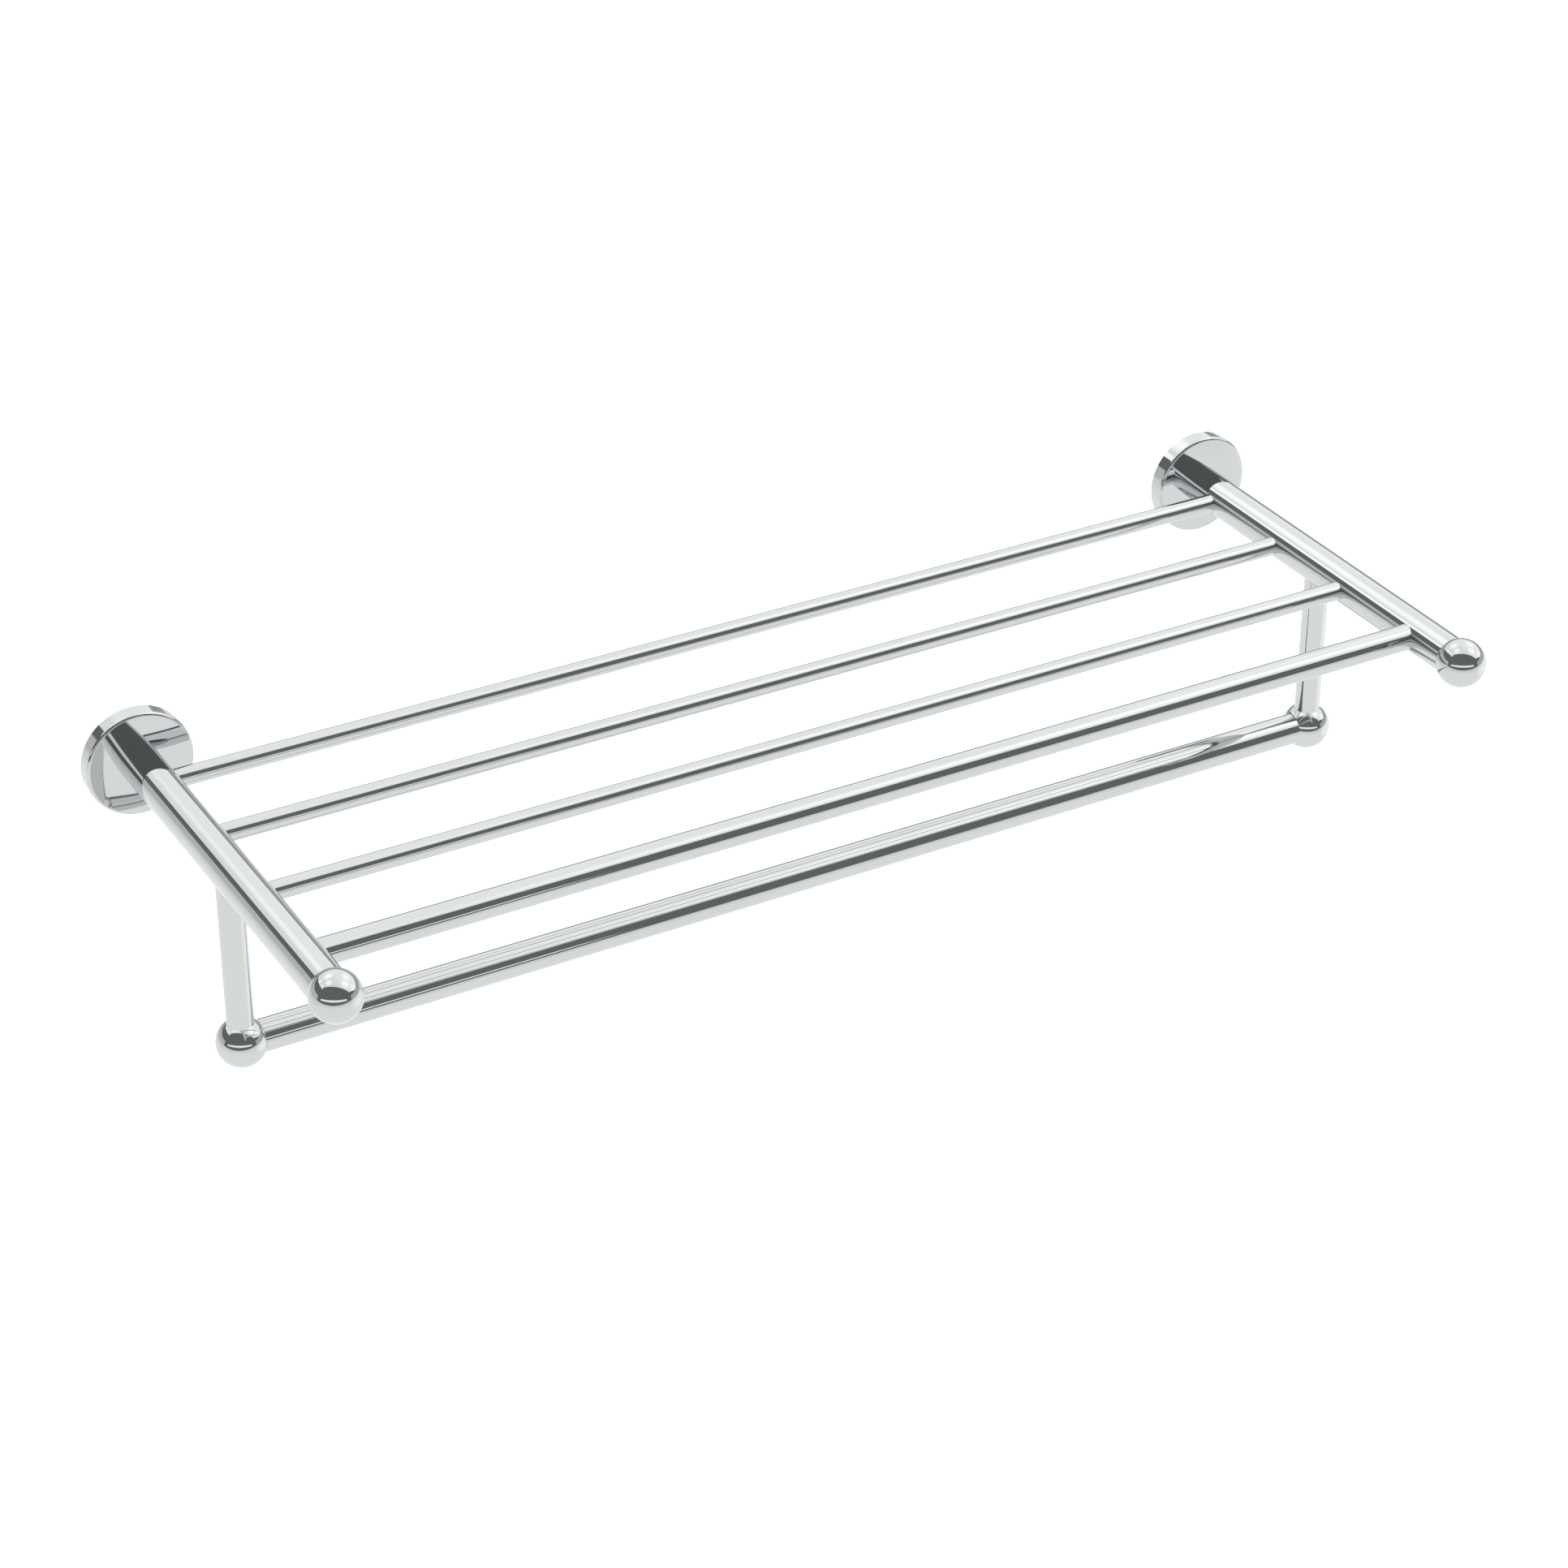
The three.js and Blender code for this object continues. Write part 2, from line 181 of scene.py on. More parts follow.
def turned(name, outline, place, sides=ROUND_SIDES):
    """A solid of revolution. Its outline runs anticlockwise, from axis to axis or round a section."""
    points = [outline[0].points[0]]
    for stretch in outline:
        points += stretch.points[1:]
    closed = np.allclose(points[0], points[-1], atol=TINY)
    if closed:
        points.pop()
    angles = np.linspace(0, 2 * math.pi, sides, endpoint=False)
    vertices, rings = [], []
    for radius, height in points:
        if radius < TINY:
            rings.append([len(vertices)] * sides)
            vertices.append(place @ Vector((0, 0, height)))
            continue
        rings.append(range(len(vertices), len(vertices) + sides))
        vertices += [place @ Vector((radius * math.cos(a), radius * math.sin(a), height)) for a in angles]
    pairs = list(zip(rings, rings[1:])) + ([(rings[-1], rings[0])] if closed else [])
    faces = []
    for low, high in pairs:
        for i in range(sides):
            j = (i + 1) % sides
            corners = list(dict.fromkeys((low[i], low[j], high[j], high[i])))
            if len(corners) > 2:
                faces.append(corners)
    piece = new_object(name, vertices, faces)
    surfaces[piece.name] = [(place, stretch) for stretch in outline]
    return piece


def cut(piece, *cutters):
    """Takes the cutters out of the piece and removes them."""
    for cutter in cutters:
        boolean = piece.modifiers.new(cutter.name, "BOOLEAN")
        boolean.operation = "DIFFERENCE"
        boolean.solver = "EXACT"
        boolean.object = cutter
    evaluated = piece.evaluated_get(bpy.context.evaluated_depsgraph_get())
    whole = piece.data
    piece.data = bpy.data.meshes.new_from_object(evaluated)
    piece.modifiers.clear()
    bpy.data.meshes.remove(whole)
    for cutter in cutters:
        surfaces[piece.name] += surfaces.pop(cutter.name, [])
        bpy.data.meshes.remove(cutter.data)


def set_exact_normals(piece):
    """Gives every face the normals of the true surface that it lies on, so that reflections stay clean."""
    mesh = piece.data
    points = np.empty(len(mesh.vertices) * 3)
    mesh.vertices.foreach_get("co", points)
    points = points.reshape(-1, 3)
    corner = np.empty(len(mesh.loops), int)
    mesh.loops.foreach_get("vertex_index", corner)
    first = np.empty(len(mesh.polygons), int)
    count = np.empty(len(mesh.polygons), int)
    face_normal = np.empty(len(mesh.polygons) * 3)
    mesh.polygons.foreach_get("loop_start", first)
    mesh.polygons.foreach_get("loop_total", count)
    mesh.polygons.foreach_get("normal", face_normal)
    flat = np.repeat(face_normal.reshape(-1, 3), count, axis=0)
    normals = flat.copy()
    for place, stretch in surfaces[piece.name]:
        turn = np.array(place.to_3x3())
        local = (points - np.array(place.translation)) @ turn
        radius = np.hypot(local[:, 0], local[:, 1])
        distance, bend = stretch.fit(np.column_stack((radius, local[:, 2])))
        outward = local[:, :2] / np.maximum(radius, TINY)[:, None]
        exact = np.column_stack((outward * bend[:, :1], bend[:, 1:])) @ turn.T
        agree = (exact[corner] * flat).sum(axis=1)
        on_it = np.logical_and.reduceat((distance < ON_SURFACE)[corner], first)
        facing = np.add.reduceat(agree, first) / count
        chosen = np.repeat(on_it & (np.abs(facing) > FACING), count)
        normals[chosen] = (exact[corner] * np.sign(np.repeat(facing, count))[:, None])[chosen]
    mesh.polygons.foreach_set("use_smooth", np.ones(len(mesh.polygons), bool))
    mesh.normals_split_custom_set(normals.tolist())


def lofted(name, rings, place, closed=False):
    """Joins rings of (height, radii) into a solid with filled ends, or into a sleeve closed on itself."""
    sides = len(rings[0][1])
    angles = np.linspace(0, 2 * math.pi, sides, endpoint=False)
    vertices = []
    for height, radii in rings:
        for radius, angle in zip(radii, angles):
            vertices.append(place @ Vector((radius * math.cos(angle), radius * math.sin(angle), height)))
    count = len(rings)
    faces = []
    for ring in range(count if closed else count - 1):
        low, high = ring * sides, (ring + 1) % count * sides
        for i in range(sides):
            j = (i + 1) % sides
            faces.append((low + i, low + j, high + j, high + i))
    if not closed:
        faces.append(tuple(reversed(range(sides))))
        faces.append(tuple(range((count - 1) * sides, count * sides)))
    return new_object(name, vertices, faces)


def soften(piece, crease=THREAD_CREASE):
    """Smooth shading, except at edges that turn by more than the crease's degrees."""
    piece.data.polygons.foreach_set("use_smooth", np.ones(len(piece.data.polygons), bool))
    piece.data.set_sharp_from_angle(angle=math.radians(crease))


def thread_rings(radius, low, high, inside=False):
    """Rings of a screw thread between two heights. An inside thread is cut outwards from the radius."""
    pitch = PITCH[radius]
    depth = THREAD_SHARE * pitch
    heights = np.linspace(low, high, max(2, round((high - low) / pitch * RINGS_PER_PITCH)) + 1)
    turn = np.linspace(0, 1, THREAD_SIDES, endpoint=False)
    rings = []
    for height in heights:
        phase = (height / pitch - turn) % 1
        groove = np.clip((np.abs(2 * phase - 1) - THREAD_FLAT) / (1 - 2 * THREAD_FLAT), 0, 1)
        lead = min(1.0, (height - low) / pitch, (high - height) / pitch)
        if inside:
            rings.append((height, radius + THREAD_ROOT - depth * (1 - groove) * max(lead, 0)))
        else:
            rings.append((height, radius - depth * (1 - (1 - groove) * max(lead, 0))))
    return rings


def threaded_rod(name, radius, low, high, place):
    piece = lofted(name, thread_rings(radius, low, high), place)
    soften(piece)
    return piece


def plain_ring(height, radius):
    return height, np.full(THREAD_SIDES, radius)


def knurled_insert(name, radius, thread, low, high, place):
    """A plug for a tube's end: knurled bands outside and a thread right through."""
    teeth = radius - KNURL_DEPTH * (np.arange(THREAD_SIDES) % 2)
    plain = radius - BAND_GROOVE
    gap, slope = 0.12, 0.04  # shares of a band's room
    room = (high - low - 2 * CHAMFER) / KNURL_BANDS
    rings = [plain_ring(low, radius - CHAMFER), plain_ring(low + CHAMFER, plain)]
    for band in range(KNURL_BANDS):
        start = low + CHAMFER + band * room
        end = start + room
        rings.append(plain_ring(start + gap * room, plain))
        rings.append((start + (gap + slope) * room, teeth))
        rings.append((end - (gap + slope) * room, teeth))
        rings.append(plain_ring(end - gap * room, plain))
    rings += [plain_ring(high - CHAMFER, plain), plain_ring(high, radius - CHAMFER)]
    rings += list(reversed(thread_rings(thread, low, high, inside=True)))
    piece = lofted(name, rings, place, closed=True)
    soften(piece, KNURL_CREASE)
    return piece


def drill(name, radius, low, high, place, sides=SMALL_SIDES):
    """A cylinder to cut with."""
    return turned(name, polyline((0, low), (radius, low), (radius, high), (0, high)), place, sides)


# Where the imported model's nodes are.


def span(node, axis):
    """Lowest and highest place of a node along an axis."""
    low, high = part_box(node)
    return low.dot(axis), high.dot(axis)


def centre(node):
    low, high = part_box(node)
    return (low + high) / 2


def radius_of(node, axis):
    """Radius of a round node that lies along an axis."""
    low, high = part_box(node)
    return max((high - low).dot(other) for other in (X, Y, Z) if other is not axis) / 2


# Materials.


class Graph:
    """Short calls for making shader nodes and joining them up."""

    def __init__(self, tree):
        self.tree = tree
        tree.nodes.clear()

    def node(self, kind, **settings):
        made = self.tree.nodes.new(kind)
        for name, value in settings.items():
            setattr(made, name, value)
        return made

    def feed(self, socket, value):
        if isinstance(value, bpy.types.NodeSocket):
            self.tree.links.new(value, socket)
        else:
            socket.default_value = value

    def math(self, operation, a, b):
        made = self.node("ShaderNodeMath", operation=operation)
        self.feed(made.inputs[0], a)
        self.feed(made.inputs[1], b)
        return made.outputs[0]

    def dot(self, a, b):
        made = self.node("ShaderNodeVectorMath", operation="DOT_PRODUCT")
        self.feed(made.inputs[0], a)
        self.feed(made.inputs[1], b)
        return made.outputs["Value"]

    def rise(self, value, low, high, bottom=0.0, top=1.0):
        """Goes smoothly from bottom to top as the value goes from low to high."""
        made = self.node("ShaderNodeMapRange", interpolation_type="SMOOTHSTEP")
        for socket, number in zip(made.inputs[:5], (value, low, high, bottom, top)):
            self.feed(socket, number)
        return made.outputs[0]

    def blend(self, share, a, b):
        made = self.node("ShaderNodeMix", data_type="FLOAT")
        self.feed(made.inputs[0], share)
        self.feed(made.inputs[2], a)
        self.feed(made.inputs[3], b)
        return made.outputs[0]

    def noise(self, place, scale, detail=2.0, stretch=None):
        if stretch:
            mapping = self.node("ShaderNodeMapping")
            mapping.inputs["Scale"].default_value = stretch
            self.feed(mapping.inputs["Vector"], place)
            place = mapping.outputs[0]
        made = self.node("ShaderNodeTexNoise")
        self.feed(made.inputs["Vector"], place)
        made.inputs["Scale"].default_value = scale
        made.inputs["Detail"].default_value = detail
        return made.outputs["Fac"]

    def ramp(self, value, low, high, dark, light):
        """Goes from the dark to the light colour as the value goes from low to high."""
        made = self.node("ShaderNodeValToRGB")
        for element, position, colour in zip(made.color_ramp.elements, (low, high), (dark, light)):
            element.position = position
            element.color = (*colour, 1)
        self.feed(made.inputs[0], value)
        return made.outputs[0]

    def bump(self, height, strength, depth):
        made = self.node("ShaderNodeBump")
        made.inputs["Strength"].default_value = strength
        made.inputs["Distance"].default_value = depth
        self.feed(made.inputs["Height"], height)
        return made.outputs[0]


def metal(name, colour, roughness, bump):
    """A metal material. Each of the three is (noise settings, what the noise drives)."""
    material = bpy.data.materials.new(name)
    material.use_nodes = True
    graph = Graph(material.node_tree)
    place = graph.node("ShaderNodeTexCoord").outputs["Object"]
    shader = graph.node("ShaderNodeBsdfPrincipled")
    output = graph.node("ShaderNodeOutputMaterial")
    shader.inputs["Metallic"].default_value = 1.0
    for socket, make, (noise, driven) in (
        ("Base Color", graph.ramp, colour),
        ("Roughness", graph.rise, roughness),
        ("Normal", graph.bump, bump),
    ):
        graph.feed(shader.inputs[socket], make(graph.noise(place, **noise), **driven))
    graph.feed(output.inputs["Surface"], shader.outputs[0])
    return material


def chrome():
    """Bright plating: a cool grey, near-perfect polish, and the slow waviness of buffed metal."""
    return metal(
        "polished_chrome_finish",
        colour=(
            dict(scale=14, detail=3),
            dict(low=0.3, high=0.7, dark=(0.606, 0.626, 0.630), light=(0.624, 0.644, 0.648)),
        ),
        roughness=(dict(scale=60, detail=4), dict(low=0.35, high=0.75, bottom=0.012, top=0.035)),
        bump=(dict(scale=45), dict(strength=0.05, depth=0.2 * MM)),
    )


def brass():
    """Plain turned brass, with fine tool marks."""
    return metal(
        "turned_brass_finish",
        colour=(
            dict(scale=160, detail=4),
            dict(low=0.25, high=0.75, dark=(0.52, 0.36, 0.15), light=(0.72, 0.53, 0.27)),
        ),
        roughness=(dict(scale=240, detail=3), dict(low=0.3, high=0.8, bottom=0.22, top=0.42)),
        bump=(dict(scale=1800, stretch=(1, 14, 1)), dict(strength=0.3, depth=0.04 * MM)),
    )


def zinc():
    """Zinc plating: dull, faintly mottled."""
    return metal(
        "zinc_plated_steel_finish",
        colour=(
            dict(scale=220, detail=5),
            dict(low=0.25, high=0.75, dark=(0.38, 0.40, 0.42), light=(0.60, 0.62, 0.62)),
        ),
        roughness=(dict(scale=320, detail=3), dict(low=0.3, high=0.8, bottom=0.25, top=0.5)),
        bump=(dict(scale=1400, detail=3), dict(strength=0.25, depth=0.04 * MM)),
    )


finishes = {"polished_chrome": chrome(), "turned_brass": brass(), "zinc_plated_steel": zinc()}


def finish_piece(piece, node, slot):
    """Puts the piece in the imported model's place for its node, with its slot's material."""
    piece.data.materials.clear()
    piece.data.materials.append(finishes[slot])
    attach(piece, "root")
    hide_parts(node)


def finish_turned(piece, node, slot):
    set_exact_normals(piece)
    finish_piece(piece, node, slot)


# The wall end of an arm.


def make_flange(side):
    node = f"{side}_flange"
    radius, (front, back) = radius_of(node, Y), span(node, Y)
    place = axis_frame(Vector((centre(node).x, 0, 0)), Y)
    seat = radius_of(f"{side}_arm_tube", Y) + FIT
    rim = radius - FLANGE_RIM
    screw = M6 + SCREW_GAP
    inside = FLANGE_CROWN - FLANGE_EDGE
    lean = math.asin((radius - FLANGE_EDGE - seat) / inside)
    edge = front + FLANGE_CROWN - inside * math.cos(lean)
    face_end = math.degrees(lean) - 90
    outline = [
        *polyline((screw, front + FLANGE_WEB), (screw, front + ARM_SEAT), (seat, front + ARM_SEAT)),
        Line((seat, front + ARM_SEAT), (seat, front)),
        Arc((seat, front + FLANGE_CROWN), FLANGE_CROWN, -90, face_end, FACE_STEPS),
        Arc((radius - FLANGE_EDGE, edge), FLANGE_EDGE, face_end, 0, EDGE_STEPS),
        Line((radius, edge), (radius, back - BACK_EDGE)),
        Arc((radius - BACK_EDGE, back - BACK_EDGE), BACK_EDGE, 0, 90, BACK_EDGE_STEPS),
        *polyline((radius - BACK_EDGE, back), (rim, back), (rim, front + FLANGE_WEB)),
        Line((rim, front + FLANGE_WEB), (screw, front + FLANGE_WEB)),
    ]
    piece = turned(f"{node}_cup", outline, place)
    below = axis_frame(Vector((centre(node).x, -GRUB_OFFSET, 0)), Z)
    cut(piece, drill("grub_hole", M4 + GRUB_GAP, -radius - OVER, -rim + OVER, below))
    finish_turned(piece, node, "polished_chrome")


def make_wall_plate(side):
    node = f"{side}_wall_plate"
    radius, (front, back) = radius_of(node, Y), span(node, Y)
    x = centre(node).x
    groove = radius - PLATE_GROOVE
    outline = ring_of(
        (PLATE_BORE, front),
        (radius - PLATE_EDGE, front),
        (radius, front + PLATE_EDGE),
        (radius, -GRUB_OFFSET - PLATE_GROOVE + PLATE_EDGE),
        (groove, -GRUB_OFFSET),
        (radius, -GRUB_OFFSET + PLATE_GROOVE),
        (radius, back - PLATE_EDGE),
        (radius - PLATE_EDGE, back),
        (PLATE_BORE, back),
    )
    piece = turned(f"{node}_disc", outline, axis_frame(Vector((x, 0, 0)), Y))
    for index, offset in enumerate((-WALL_SCREW_OFFSET, WALL_SCREW_OFFSET)):
        sink = front + COUNTERSINK - WALL_SCREW_HOLE
        outline = polyline(
            (0, front - OVER),
            (COUNTERSINK + OVER, front - OVER),
            (WALL_SCREW_HOLE, sink),
            (WALL_SCREW_HOLE, back + OVER),
            (0, back + OVER),
        )
        place = axis_frame(Vector((x + offset, 0, 0)), Y)
        cut(piece, turned(f"screw_hole_{index}", outline, place, SMALL_SIDES))
    finish_turned(piece, node, "zinc_plated_steel")


def hexagon(name, radius, low, high, place):
    return lofted(name, [(low, np.full(6, radius)), (high, np.full(6, radius))], place)


def make_arm_screw(side):
    node = f"{side}_arm_fixing_screw"
    tip, top = span(node, Y)
    head = radius_of(node, Y)
    under = top - SCREW_HEAD_DEPTH
    place = axis_frame(Vector((centre(node).x, 0, 0)), Y)
    rings = [
        *thread_rings(M6, tip, under - UNDERCUT),
        plain_ring(under, M6),
        plain_ring(under, head - HEAD_EDGE),
        plain_ring(under + HEAD_EDGE, head),
        plain_ring(top - HEAD_ROUNDING, head),
        plain_ring(top - HEAD_EDGE, head - HEAD_SHOULDER),
        plain_ring(top, head - HEAD_EDGE - HEAD_ROUNDING),
    ]
    piece = lofted(f"{node}_bolt", rings, place)
    surfaces[piece.name] = []
    cut(piece, hexagon("socket", ARM_SCREW_SOCKET, top - SOCKET_DEPTH, top + OVER, place))
    soften(piece)
    finish_piece(piece, node, "zinc_plated_steel")


def make_grub_screw(side):
    node = f"{side}_flange_grub_screw"
    foot, point = span(node, Z)
    middle = centre(node)
    place = axis_frame(Vector((middle.x, middle.y, 0)), Z)
    rings = thread_rings(M4, foot, point - GRUB_POINT - GRUB_NECK)
    rings += [plain_ring(point - GRUB_POINT, GRUB_POINT_BASE), plain_ring(point, GRUB_TIP)]
    piece = lofted(f"{node}_body", rings, place)
    surfaces[piece.name] = []
    cut(piece, hexagon("socket", GRUB_SOCKET, foot - OVER, foot + SOCKET_DEPTH, place))
    soften(piece)
    finish_piece(piece, node, "zinc_plated_steel")


# The arms.


def make_arm(side, sign):
    node = f"{side}_arm_tube"
    radius = radius_of(node, Y)
    middle = centre(node)
    front, root = ball_seat(f"{side}_front_ball", radius), span(node, Y)[1]
    bore = radius - ARM_WALL
    place = axis_frame(Vector((middle.x, 0, 0)), Y)
    section = ring_of((bore, front + FIT), (radius, front + FIT), (radius, root), (bore, root))
    piece = turned(f"{node}_pipe", section, place)
    holes = []
    for bar in cross_bars:
        at = axis_frame(Vector((middle.x, centre(bar).y, 0)), X)
        ends = sorted((-sign * 2 * radius, 0))
        holes.append(drill(f"{bar}_hole", radius_of(bar, X) + FIT, *ends, at))
    at = axis_frame(Vector((middle.x, centre(f"{side}_post").y, 0)), Z)
    holes.append(drill("stud_hole", M5 + TAP_GAP, -2 * radius, 0, at))
    cut(piece, *holes)
    finish_turned(piece, node, "polished_chrome")


def ball_seat(ball, radius):
    """The place along y where a tube of that radius meets the arm's ball."""
    low = span(ball, Y)[0]
    size = radius_of(ball, Y)
    return low + size + math.sqrt(size**2 - radius**2)


def make_front_ball(side):
    node = f"{side}_front_ball"
    size = radius_of(node, Y)
    tube = radius_of(f"{side}_arm_tube", Y)
    middle = Vector((centre(node).x, span(node, Y)[0] + size, 0))
    seat = math.sqrt(size**2 - tube**2)
    depth = seat + span(f"{side}_front_ball_stud", Y)[0] - (middle.y + seat) - HOLE_EXTRA
    hole = M6 + TAP_GAP
    outline = [
        Arc((0, 0), size, -90, math.degrees(math.asin(seat / size)), BALL_STEPS),
        *polyline((tube, seat), (hole, seat), (hole, depth), (0, depth)),
    ]
    piece = turned(f"{node}_knob", outline, axis_frame(middle, Y))
    finish_turned(piece, node, "polished_chrome")


# The posts and the towel bar.


def corner_middle(side):
    """Centre of the ball that joins a post to the towel bar."""
    ball = f"{side}_corner_ball"
    size = radius_of(ball, X)
    return Vector((centre(f"{side}_post").x, centre(ball).y, span(ball, Z)[0] + size))


def make_post(side):
    node = f"{side}_post"
    radius = radius_of(node, Z)
    middle = centre(node)
    ball = radius_of(f"{side}_corner_ball", X)
    arm = radius_of(f"{side}_arm_tube", Y)
    foot = corner_middle(side).z + math.sqrt(ball**2 - radius**2) + FIT
    place = axis_frame(Vector((middle.x, middle.y, 0)), Z)
    piece = drill(f"{node}_rod", radius, foot, 0, place, ROUND_SIDES)
    along_arm = axis_frame(place.translation, Y)
    saddle = drill("saddle", arm + FIT, -2 * radius, 2 * radius, along_arm, ROUND_SIDES)
    hole = M5 + TAP_GAP
    upper = drill("upper_hole", hole, span(f"{side}_post_upper_stud", Z)[0] - HOLE_EXTRA, 0, place)
    lower = drill("lower_hole", hole, foot - OVER, span(f"{side}_post_lower_stud", Z)[1] + HOLE_EXTRA, place)
    cut(piece, saddle, upper, lower)
    finish_turned(piece, node, "polished_chrome")


def make_corner_ball(side, sign):
    node = f"{side}_corner_ball"
    size = radius_of(node, X)
    post, bar = radius_of(f"{side}_post", Z), radius_of("towel_bar", X)
    middle = corner_middle(side)
    upright, level = axis_frame(middle, Z), axis_frame(middle, -sign * X)
    top, face = math.sqrt(size**2 - post**2), math.sqrt(size**2 - bar**2)
    outline = [
        Arc((0, 0), size, -90, math.degrees(math.asin(top / size)), BALL_STEPS),
        Line((post, top), (0, top)),
    ]
    piece = turned(f"{node}_knob", outline, upright)
    hole = M5 + TAP_GAP
    cut(
        piece,
        drill("offcut", size, face, size + OVER, level),
        drill("bar_hole", hole, face - BALL_HOLE_DEPTH, size, level),
        drill("post_hole", hole, top - BALL_HOLE_DEPTH, size, upright),
    )
    finish_turned(piece, node, "polished_chrome")


def make_towel_bar():
    node = "towel_bar"
    radius = radius_of(node, X)
    ball = radius_of("right_corner_ball", X)
    end = corner_middle("right").x - math.sqrt(ball**2 - radius**2) - FIT
    place = axis_frame(Vector((0, centre(node).y, centre(node).z)), X)
    bore = radius - BAR_WALL
    section = ring_of((bore, -end), (radius, -end), (radius, end), (bore, end))
    finish_turned(turned(f"{node}_pipe", section, place), node, "polished_chrome")


def make_cross_bar(node):
    radius = radius_of(node, X)
    low, high = span(node, X)
    place = axis_frame(Vector((0, centre(node).y, 0)), X)
    bore = radius - BAR_WALL
    section = ring_of((bore, low), (radius, low), (radius, high), (bore, high))
    finish_turned(turned(f"{node}_pipe", section, place), node, "polished_chrome")


# The hidden fixings.


def make_stud(node, radius, axis):
    low, high = span(node, axis)
    middle = centre(node)
    place = axis_frame(middle - axis * middle.dot(axis), axis)
    finish_piece(threaded_rod(f"{node}_rod", radius, low, high, place), node, "zinc_plated_steel")


def make_insert(node, thread, axis):
    low, high = span(node, axis)
    middle = centre(node)
    place = axis_frame(middle - axis * middle.dot(axis), axis)
    piece = knurled_insert(f"{node}_sleeve", radius_of(node, axis), thread, low, high, place)
    finish_piece(piece, node, "turned_brass")


def make_post_insert(side):
    """The plug in an arm above its post, tapped from below."""
    node = f"{side}_arm_post_insert"
    radius, (low, high) = radius_of(node, Y), span(node, Y)
    middle = centre(node)
    outline = polyline(
        (0, low),
        (radius - CHAMFER, low),
        (radius, low + CHAMFER),
        (radius, high - CHAMFER),
        (radius - CHAMFER, high),
        (0, high),
    )
    piece = turned(f"{node}_plug", outline, axis_frame(Vector((middle.x, 0, 0)), Y), SMALL_SIDES)
    below = axis_frame(Vector((middle.x, middle.y, 0)), Z)
    cut(piece, drill("tapped_hole", M5 + TAP_GAP, -2 * radius, HOLE_EXTRA, below))
    finish_turned(piece, node, "turned_brass")


cross_bars = sorted(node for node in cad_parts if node.endswith("cross_bar") or "_cross_bar_" in node)

for side, sign in SIDES:
    make_flange(side)
    make_wall_plate(side)
    make_arm_screw(side)
    make_grub_screw(side)
    make_arm(side, sign)
    make_front_ball(side)
    make_post(side)
    make_corner_ball(side, sign)
    make_insert(f"{side}_arm_root_insert", M6, Y)
    make_insert(f"{side}_arm_front_insert", M6, Y)
    make_post_insert(side)
    make_insert(f"{side}_towel_bar_plug", M5, X)
    make_stud(f"{side}_front_ball_stud", M6, Y)
    make_stud(f"{side}_post_upper_stud", M5, Z)
    make_stud(f"{side}_post_lower_stud", M5, Z)
    make_stud(f"{side}_towel_bar_stud", M5, X)
for bar in cross_bars:
    make_cross_bar(bar)
make_towel_bar()


# The studio: a pale floor far below, and a bright room that only reflections show. Brightnesses are
# those of the room's surfaces, heights are the sines of elevations, and angles are degrees.

PLAIN_WHITE = 1.0
DARK_WALL = 0.178
SKY = (1.04, 1.12)
CLOUD_SCALE = 3.0
CLOUD_RANGE = (0.3, 0.7)  # of the noise that the sky's two brightnesses span
LAMPS = (  # azimuth, elevation, inner and outer angle of the soft patch, brightness that it adds
    (70, 25, 5, 75, 0.18),
    (-60, 69, 0, 16, 0.40),
    (115, 54, 0, 17, 0.40),
    (67, 40, 0, 18, 0.27),
    (-6, 49, 0, 18, 0.40),
    (-60, 42, 0, 8, 0.27),
    (-33, 33, 0, 7, 0.45),
    (106, 20, 0, 18, 0.22),
)
LEFT_WALL = {"azimuth": -82, "across": (-1.5, 6.0), "up": (0.0, 0.81)}
RIGHT_WALL = {"azimuth": 175, "across": (-6.0, 0.5), "up": (0.0, 0.63)}
FRONT_WALL = {"azimuth": -145, "across": (-4.4, 2.2), "up": (-0.13, 2.72), "edge": 0.04}
SLIT = {"azimuth": -150, "across": (-1.28, 1.43), "up": (0.115, 0.27), "edge": 0.035}
SLIT_GLOW = 1.25
BAND_TOP = (0.20, 0.24)  # heights over which the grey band round the room gives way to the sky
BAND = (0.55, 0.43)  # at its lightest, and at its darkest part
BAND_DARKEST = 35
BAND_SPREAD = (0.3, 0.9)  # cosines from the darkest azimuth
BAND_LEFT = 0.12
BAND_LEFT_AT = -60
BAND_LEFT_SPREAD = (0.6, 0.95)
GROUND = (1.07, 0.91)  # below the rack, and near the horizon
GROUND_HEIGHT = (-0.45, -0.12)
GROUND_RIGHT = 0.28
GROUND_RIGHT_PATCH = (105, -5, 5, 42)  # azimuth, elevation, inner and outer angle
HORIZON = (-0.15, -0.02)
BARELY_AHEAD = 1e-3  # keeps a panel from being divided by zero

FLOOR_SIZE = 30.0
FLOOR_HEIGHT = -1.2
FLOOR_GREY = 0.97
FLOOR_ROUGHNESS = 0.9
LIGHT_SIZE = 8.0
LIGHT_POWER = 600.0
LIGHT_HEIGHT = 4.0

CAMERA_AZIMUTH = -29.5
CAMERA_ELEVATION = 30.78
CAMERA_ROLL = 0.16
CAMERA_TARGET = Vector((-0.0185, -0.1220, -0.0336))
CAMERA_DISTANCE = 1.9418
SENSOR_WIDTH = 36.0
LENS = 92.75


def direction(azimuth, elevation=0.0):
    """A direction from its azimuth, which is 0 into the wall and 90 along x, and its elevation."""
    a, e = math.radians(azimuth), math.radians(elevation)
    return (math.sin(a) * math.cos(e), math.cos(a) * math.cos(e), math.sin(e))


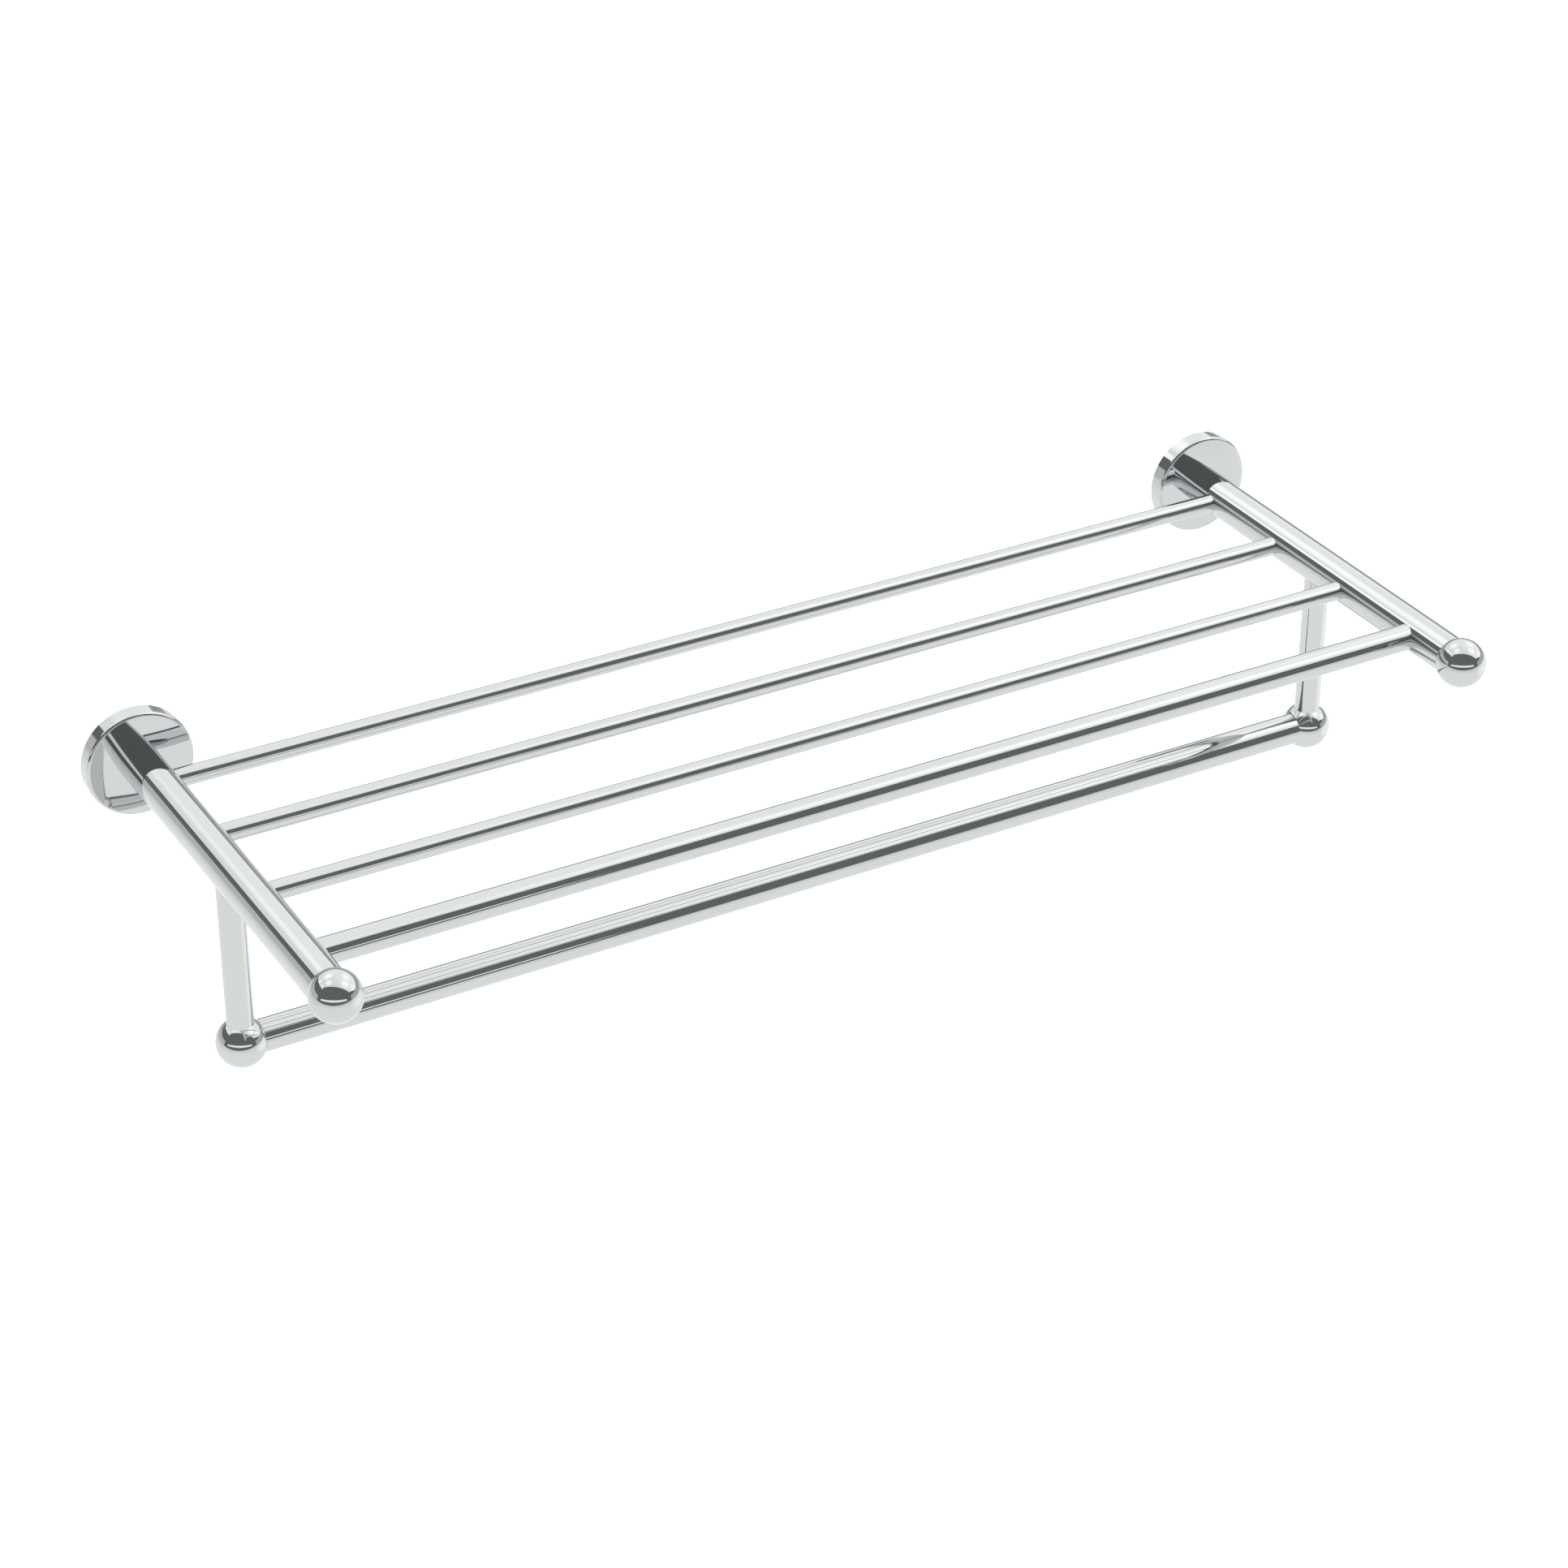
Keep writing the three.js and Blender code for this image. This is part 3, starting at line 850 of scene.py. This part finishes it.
def soft_patch(graph, ray, azimuth, elevation, inner, outer):
    """1 inside a round patch of the room, falling to 0 at its outer angle."""
    near = graph.dot(ray, direction(azimuth, elevation))
    return graph.rise(near, math.cos(math.radians(outer)), math.cos(math.radians(inner)))


def panel(graph, ray, azimuth, across, up, edge=0.02):
    """1 inside a flat upright rectangle that faces the rack, its sides given in distances from it."""
    ahead = graph.math("MAXIMUM", graph.dot(ray, direction(azimuth)), BARELY_AHEAD)
    u = graph.math("DIVIDE", graph.dot(ray, direction(azimuth + 90)), ahead)
    v = graph.math("DIVIDE", graph.dot(ray, (0, 0, 1)), ahead)
    inside = 1.0
    for place, (low, high) in ((u, across), (v, up)):
        inside = graph.math("MULTIPLY", inside, graph.rise(place, low - edge, low + edge))
        inside = graph.math("MULTIPLY", inside, graph.rise(place, high + edge, high - edge))
    return inside


def sky(graph, ray):
    """Softly uneven brightness with the lamps in it."""
    made = graph.rise(graph.noise(ray, CLOUD_SCALE), *CLOUD_RANGE, *SKY)
    for azimuth, elevation, inner, outer, glow in LAMPS:
        patch = soft_patch(graph, ray, azimuth, elevation, inner, outer)
        made = graph.math("ADD", made, graph.math("MULTIPLY", patch, glow))
    return made


def side_walls(graph, ray, room):
    for wall in (LEFT_WALL, RIGHT_WALL):
        room = graph.blend(panel(graph, ray, **wall), room, DARK_WALL)
    return room


def low_band(graph, ray, height, room):
    """The grey band round the room, a little above the horizon."""
    band = graph.rise(graph.dot(ray, direction(BAND_DARKEST)), *BAND_SPREAD, *BAND)
    left = graph.rise(graph.dot(ray, direction(BAND_LEFT_AT)), *BAND_LEFT_SPREAD, 0.0, BAND_LEFT)
    return graph.blend(graph.rise(height, *BAND_TOP), graph.math("ADD", band, left), room)


def ground(graph, ray, height, room):
    """The pale ground, brighter towards the right."""
    made = graph.rise(height, *GROUND_HEIGHT, *GROUND)
    right = graph.math("MULTIPLY", soft_patch(graph, ray, *GROUND_RIGHT_PATCH), GROUND_RIGHT)
    return graph.blend(graph.rise(height, *HORIZON), graph.math("ADD", made, right), room)


def front_wall(graph, ray, room):
    """The big dark wall behind the camera, with a bright slit low in it."""
    room = graph.blend(panel(graph, ray, **FRONT_WALL), room, DARK_WALL)
    return graph.blend(panel(graph, ray, **SLIT), room, SLIT_GLOW)


def make_world():
    """Reflections see the room, and all else sees plain white."""
    world = bpy.data.worlds.new("studio")
    world.use_nodes = True
    graph = Graph(world.node_tree)
    ray = graph.node("ShaderNodeTexCoord").outputs["Generated"]
    height = graph.dot(ray, (0, 0, 1))
    room = side_walls(graph, ray, sky(graph, ray))
    room = low_band(graph, ray, height, room)
    room = ground(graph, ray, height, room)
    room = front_wall(graph, ray, room)
    mirrored = graph.node("ShaderNodeLightPath").outputs["Is Glossy Ray"]
    background = graph.node("ShaderNodeBackground")
    background.inputs["Color"].default_value = (1, 1, 1, 1)
    graph.feed(background.inputs["Strength"], graph.blend(mirrored, PLAIN_WHITE, room))
    graph.feed(graph.node("ShaderNodeOutputWorld").inputs["Surface"], background.outputs[0])
    bpy.context.scene.world = world


def make_floor():
    signs = ((-1, -1), (1, -1), (1, 1), (-1, 1))
    corners = [(x * FLOOR_SIZE, y * FLOOR_SIZE, FLOOR_HEIGHT) for x, y in signs]
    floor = new_object("floor", corners, [(0, 1, 2, 3)])
    material = bpy.data.materials.new("pale_floor")
    material.use_nodes = True
    shader = material.node_tree.nodes["Principled BSDF"]
    shader.inputs["Base Color"].default_value = (FLOOR_GREY, FLOOR_GREY, FLOOR_GREY, 1)
    shader.inputs["Roughness"].default_value = FLOOR_ROUGHNESS
    shader.inputs["Specular IOR Level"].default_value = 0.0
    floor.data.materials.append(material)
    floor.visible_glossy = False


def make_light():
    """A wide soft light overhead, for the floor: the chrome reflects the room instead."""
    light = bpy.data.lights.new("overhead", "AREA")
    light.size = LIGHT_SIZE
    light.energy = LIGHT_POWER
    lamp = bpy.data.objects.new("overhead", light)
    lamp.location = (0, 0, LIGHT_HEIGHT)
    lamp.visible_glossy = False
    bpy.context.scene.collection.objects.link(lamp)


def make_camera():
    """Looks down on the rack from its front left."""
    azimuth, elevation = math.radians(CAMERA_AZIMUTH), math.radians(CAMERA_ELEVATION)
    level = Vector((math.sin(azimuth), -math.cos(azimuth), 0))
    back = level * math.cos(elevation) + Z * math.sin(elevation)
    data = bpy.data.cameras.new("camera")
    data.sensor_width = SENSOR_WIDTH
    data.lens = LENS
    camera = bpy.data.objects.new("camera", data)
    camera.rotation_mode = "QUATERNION"
    camera.location = CAMERA_TARGET + back * CAMERA_DISTANCE
    roll = Matrix.Rotation(math.radians(CAMERA_ROLL), 4, "Z").to_quaternion()
    camera.rotation_quaternion = (-back).to_track_quat("-Z", "Y") @ roll
    bpy.context.scene.collection.objects.link(camera)
    bpy.context.scene.camera = camera


make_world()
make_floor()
make_light()
make_camera()
bpy.context.scene.view_settings.view_transform = "Standard"
